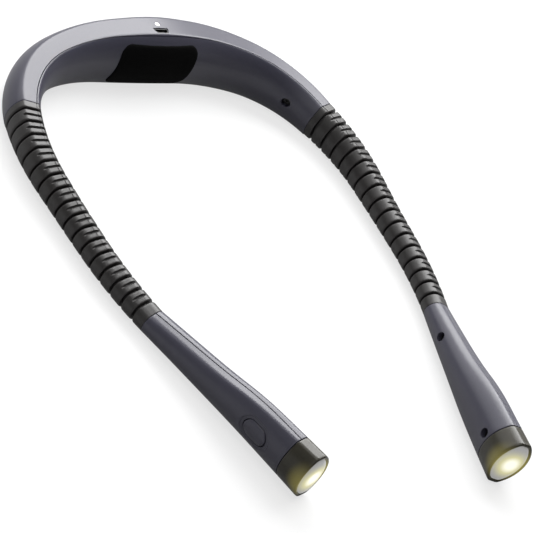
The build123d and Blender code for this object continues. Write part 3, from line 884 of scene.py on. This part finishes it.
# Lamp heads
lampForm = {
    "bezelLength": 11.4,
    "seamGap": 0.25,
    "rows": 130,
    "bezelWall": 1.5,
    "bezelInset": 2.0,          # where its back face begins, in from the surface
    "bezelEdge": 0.3,           # its back edge is rounded over this length
    "bezelEdgeDrop": 0.09,      # with one row this far along and this far in
    "bezelMargins": (1.0, 1.2),     # its plain rows keep this far from its two ends
    "bezelPlainRows": 12,
    "bezelRim": 0.65,           # length of its rounded rim
    "bezelRimSteps": 8,
    "ledge": 0.9,
    "lensRecess": 0.4,
    "lensThickness": 2.7,
    "lensFit": 0.15,
    "lensDome": 1.3,            # how far the lens bulges out
    "lensDomeRun": 4.5,         # and over what width, in from its edge
    "lensSteps": 14,
}

# Grow and depth of each ring round the button: of the dish in the shell, and of the cap in it
buttonForm = {
    "setback": 27.8,
    "rise": 1.2,
    "length": 12.2,
    "height": 7.8,
    "dish": [(-3.2, -0.9), (-1.6, -0.9), (0.0, -0.9), (1.4, -0.9), (2.7, -0.9), (2.0, 0.0), (1.7, 0.38),
             (1.45, 0.52), (0.6, 0.55), (0.38, 0.66), (0.32, 0.95), (0.32, 4.8)],
    "cap": [(-3.2, 0.05), (-2.2, 0.08), (-1.2, 0.14), (-0.6, 0.22), (-0.3, 0.32), (-0.1, 0.5),
            (0.0, 0.75), (0.0, 4.0)],
    "steps": 72,
}
bezelStart = lampTip - lampForm["bezelLength"]
lensFront = lampTip - lampForm["lensRecess"]
lensBack = lensFront - lampForm["lensThickness"]
lampScrewPlaces = [lampStart + screwForm["rearSetback"], lampTip - screwForm["frontSetback"]]
buttonPlace = lampTip - buttonForm["setback"]


def stadiumLoop(grow):      # along and up, about the button's middle
    radius = buttonForm["height"] / 2 + grow
    half = (buttonForm["length"] - buttonForm["height"]) / 2
    points = []
    for turn in np.linspace(0, tau, buttonForm["steps"], endpoint=False):
        shift = half if cos(turn) >= 0 else -half
        points.append((radius * cos(turn) + shift, radius * sin(turn)))
    return points


def buttonLoops(profile):       # stadium rings at depths below the lamp's own curved face
    axes = Section(buttonPlace)
    loops = []
    for grow, depth in profile:
        loop = []
        for along, upwards in stadiumLoop(grow):
            height = upwards + buttonForm["rise"]
            spot = Section(buttonPlace + along)
            out = float(spot.face(height)) - depth + float(np.dot(spot.origin - axes.origin, axes.outward))
            loop.append(axes.origin + axes.along * along + axes.up * height + axes.outward * out)
        loops.append(loop)
    return loops


lampBody = loftObject("lampForm", housingLoops(lampStart, bezelStart - lampForm["seamGap"], lampForm["rows"]))
lampOuter, lampInner = splitForm(lampBody, "outer", "inner",
                                 seamPlaces(lampStart, bezelStart, seamForm["lampRows"]), lampSeam)
combine(lampOuter, loftObject("dish", buttonLoops(buttonForm["dish"])), "DIFFERENCE")
for place in lampScrewPlaces:
    combine(lampInner, screwHole(place), "DIFFERENCE")
button = loftObject("button", buttonLoops(buttonForm["cap"]))


def bezelRows():        # distance along and inset, round the bezel's wall
    wall, edge, drop = lampForm["bezelWall"], lampForm["bezelEdge"], lampForm["bezelEdgeDrop"]
    rows = [(bezelStart, lampForm["bezelInset"]), (bezelStart, edge), (bezelStart + drop, drop),
            (bezelStart + edge, 0.0)]
    back, front = lampForm["bezelMargins"]
    plain = np.linspace(bezelStart + back, lampTip - front, lampForm["bezelPlainRows"])
    rows += [(place, 0.0) for place in plain]
    rim, steps = lampForm["bezelRim"], lampForm["bezelRimSteps"]
    for step in range(1, steps + 1):
        turn = pi * step / steps
        rows.append((lampTip - rim + rim * sin(turn), (wall / 2) * (1 - cos(turn))))
    rows += [(lensBack, wall), (lensBack, wall + lampForm["ledge"]), (bezelStart, wall + lampForm["ledge"])]
    return rows


bezel = loftObject("bezel", [loopAt(min(place, lampTip), inset) for place, inset in bezelRows()], ring=True)


def lensObject():
    inset = lampForm["bezelWall"] + lampForm["lensFit"]
    loops = [loopAt(lensBack, inset)]
    for turn in np.linspace(0, pi / 2, lampForm["lensSteps"]):
        rise = lampForm["lensDome"] * sin(turn)
        loops.append(loopAt(lensFront + rise, inset + lampForm["lensDomeRun"] * (1 - cos(turn))))
    return loftObject("lens", loops)


lens = lensObject()
pieces = [(lampOuter, "LampOuterShell", "housing", "housing_plastic", "lamp_outer_shell", "lamp", 32),
          (lampInner, "LampInnerShell", "housing", "housing_plastic", "lamp_inner_shell", "lamp", 32),
          (button, "PowerButton", "housing", "button_plastic", "power_button", "button", 40),
          (bezel, "LampBezel", "bezel", "smoked_bezel", "lamp_bezel", "lamp", 40),
          (lens, "LampLens", "lens", "lens_clear", "lamp_lens", "lamp", 40)]
for item, name, finish, slot, node, body, angle in pieces:
    shade(item, angle)
    for side, sign, piece in bothSides(item, name):
        dress(piece, materials[finish])
        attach(piece, f"{side}_{body}")
        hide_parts(f"{side}_{node}")
for number, place in enumerate(lampScrewPlaces):
    screw = shade(makeScrew("screw", place))
    for side, sign, piece in bothSides(screw, f"LampScrew{number + 1}"):
        dress(piece, materials["steel"])
        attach(piece, f"{side}_lamp")
        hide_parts(f"{side}_lamp_screws")
print("lamp heads ready")

# Camera at the photograph's angle
cameraForm = {
    "azimuth": 52.1,            # degrees, as the next two
    "elevation": 33.1,
    "roll": 33.8,
    "aimBack": 77.0,            # aim, in front of the middle of the neck
    "distance": 1763.4,
    "shiftRight": -23.22,
    "shiftUp": 27.17,
    "lens": 284.1,
    "clipEnd": 20,
}
azimuth, elevation, roll = (radians(cameraForm[key]) for key in ("azimuth", "elevation", "roll"))
ahead = Vector((sin(azimuth) * cos(elevation), cos(azimuth) * cos(elevation), -sin(elevation)))
level = Vector((cos(azimuth), -sin(azimuth), 0))
upright = level.cross(ahead)
rightward = cos(roll) * level + sin(roll) * upright
upward = cos(roll) * upright - sin(roll) * level
aim = Vector((0.0, neckY - cameraForm["aimBack"], 0.0)) - cameraForm["shiftRight"] * rightward
aim = aim - cameraForm["shiftUp"] * upward
eye = (aim - cameraForm["distance"] * ahead) * mm
cameraData = bpy.data.cameras.new("camera")
cameraData.lens = cameraForm["lens"]
cameraData.clip_end = cameraForm["clipEnd"]
camera = bpy.data.objects.new("camera", cameraData)
bpy.context.scene.collection.objects.link(camera)
turnMatrix = Matrix((rightward, upward, -ahead)).transposed().to_4x4()
camera.matrix_world = Matrix.Translation(eye) @ turnMatrix
bpy.context.scene.camera = camera

# Soft lights: a large one opposite the camera for the flats, one overhead, one at the side and a fill
lights = {
    "back": {"azimuth": 44, "elevation": 46, "distance": 1.3, "width": 1.4, "height": 0.9, "power": 36},
    "overhead": {"azimuth": -80, "elevation": 76, "distance": 1.3, "width": 0.8, "height": 0.8, "power": 5},
    "side": {"azimuth": -14, "elevation": 30, "distance": 1.3, "width": 1.1, "height": 0.9, "power": 6},
    "fill": {"azimuth": 250, "elevation": 35, "distance": 1.6, "width": 1.2, "height": 1.0, "power": 3},
}
lightAim = Vector((0, 0, 0.01))     # a little above the floor, in metres
for name, light in lights.items():
    data = bpy.data.lights.new(name, "AREA")
    data.shape = "RECTANGLE"
    data.size, data.size_y = light["width"], light["height"]
    data.energy = light["power"]
    item = bpy.data.objects.new(name, data)
    bpy.context.scene.collection.objects.link(item)
    turn, rise = radians(light["azimuth"]), radians(light["elevation"])
    toward = Vector((sin(turn) * cos(rise), cos(turn) * cos(rise), sin(rise)))
    item.location = lightAim + toward * light["distance"]
    item.rotation_euler = (-toward).to_track_quat("-Z", "Y").to_euler()

# Pale floor and surroundings
stageForm = {
    "floorSize": 6.0,
    "floorColor": 0.8,
    "bounce": 0.25,             # the floor's colour for the light that it throws back on the object
    "shine": 0.7,               # how much of its own white the floor shows near the object
    "shadeReach": 0.35,         # from here on it turns into plain white, in metres
    "plainFrom": 1.1,
    "ambient": 0.68,
    "mirrored": 0.25,           # how much of the white background shows in reflections
    "fadeLow": 0.0,
    "fadeHigh": 0.2,
    "overhead": 0.12,           # the surroundings are darker than white overhead
}


def seenDirectly(nodes, link):      # 1 for camera rays, less for glossy and transmission rays
    path = nodes.new("ShaderNodeLightPath")
    either, faint, most = (nodes.new("ShaderNodeMath") for number in range(3))
    either.operation, faint.operation, most.operation = "MAXIMUM", "MULTIPLY", "MAXIMUM"
    faint.inputs[1].default_value = stageForm["mirrored"]
    link(path.outputs["Is Glossy Ray"], either.inputs[0])
    link(path.outputs["Is Transmission Ray"], either.inputs[1])
    link(either.outputs["Value"], faint.inputs[0])
    link(path.outputs["Is Camera Ray"], most.inputs[0])
    link(faint.outputs["Value"], most.inputs[1])
    return most


def makeSurroundings():
    world = bpy.data.worlds.new("surroundings")
    world.use_nodes = True
    nodes, link = world.node_tree.nodes, world.node_tree.links.new
    seen = seenDirectly(nodes, link)
    strength = nodes.new("ShaderNodeMapRange")
    strength.inputs["To Min"].default_value = stageForm["ambient"]
    strength.inputs["To Max"].default_value = 1.0
    spot = nodes.new("ShaderNodeTexCoord")
    split = nodes.new("ShaderNodeSeparateXYZ")
    fade = nodes.new("ShaderNodeMapRange")      # white at the horizon, darker overhead
    fade.interpolation_type = "SMOOTHSTEP"
    fade.inputs["From Min"].default_value = stageForm["fadeLow"]
    fade.inputs["From Max"].default_value = stageForm["fadeHigh"]
    fade.inputs["To Min"].default_value = 1.0
    fade.inputs["To Max"].default_value = stageForm["overhead"]
    link(spot.outputs["Generated"], split.inputs["Vector"])
    link(split.outputs["Z"], fade.inputs["Value"])
    clear = nodes.new("ShaderNodeMath")         # the camera itself sees white all round
    clear.operation = "MAXIMUM"
    link(nodes.new("ShaderNodeLightPath").outputs["Is Camera Ray"], clear.inputs[0])
    link(fade.outputs["Result"], clear.inputs[1])
    link(clear.outputs["Value"], nodes["Background"].inputs["Color"])
    link(seen.outputs["Value"], strength.inputs["Value"])
    link(strength.outputs["Result"], nodes["Background"].inputs["Strength"])
    return world


def makeFloorMaterial():        # keeps the shadow, and is plain white beyond its reach
    material = bpy.data.materials.new("paleFloor")
    material.use_nodes = True
    nodes, link = material.node_tree.nodes, material.node_tree.links.new
    nodes.remove(nodes["Principled BSDF"])
    matte = nodes.new("ShaderNodeBsdfDiffuse")
    white = nodes.new("ShaderNodeEmission")
    tint = nodes.new("ShaderNodeMix")
    tint.data_type = "RGBA"
    mixing = nodes.new("ShaderNodeMixShader")
    share = nodes.new("ShaderNodeMath")
    share.operation = "MULTIPLY"
    seen = seenDirectly(nodes, link)
    tint.inputs["A"].default_value = (stageForm["bounce"],) * 3 + (1,)
    tint.inputs["B"].default_value = (stageForm["floorColor"],) * 3 + (1,)
    spot = nodes.new("ShaderNodeTexCoord")
    away = nodes.new("ShaderNodeVectorMath")
    away.operation = "LENGTH"
    plain = nodes.new("ShaderNodeMapRange")
    plain.interpolation_type = "SMOOTHSTEP"
    plain.inputs["From Min"].default_value = stageForm["shadeReach"]
    plain.inputs["From Max"].default_value = stageForm["plainFrom"]
    plain.inputs["To Min"].default_value = stageForm["shine"]
    plain.inputs["To Max"].default_value = 1.0
    link(spot.outputs["Object"], away.inputs[0])
    link(away.outputs["Value"], plain.inputs["Value"])
    link(plain.outputs["Result"], share.inputs[1])
    link(seen.outputs["Value"], tint.inputs["Factor"])
    link(tint.outputs["Result"], matte.inputs["Color"])
    link(seen.outputs["Value"], share.inputs[0])
    link(share.outputs["Value"], mixing.inputs["Fac"])
    link(matte.outputs["BSDF"], mixing.inputs[1])
    link(white.outputs["Emission"], mixing.inputs[2])
    link(mixing.outputs["Shader"], nodes["Material Output"].inputs["Surface"])
    return material


bpy.context.scene.world = makeSurroundings()
half = stageForm["floorSize"] / 2 / mm
corners = [(-half, -half, 0), (half, -half, 0), (half, half, 0), (-half, half, 0)]
floor = addObject("floor", corners, [(0, 1, 2, 3)])
floor.data.materials.append(makeFloorMaterial())
bpy.context.scene.view_settings.view_transform = "Standard"
print("stage ready")
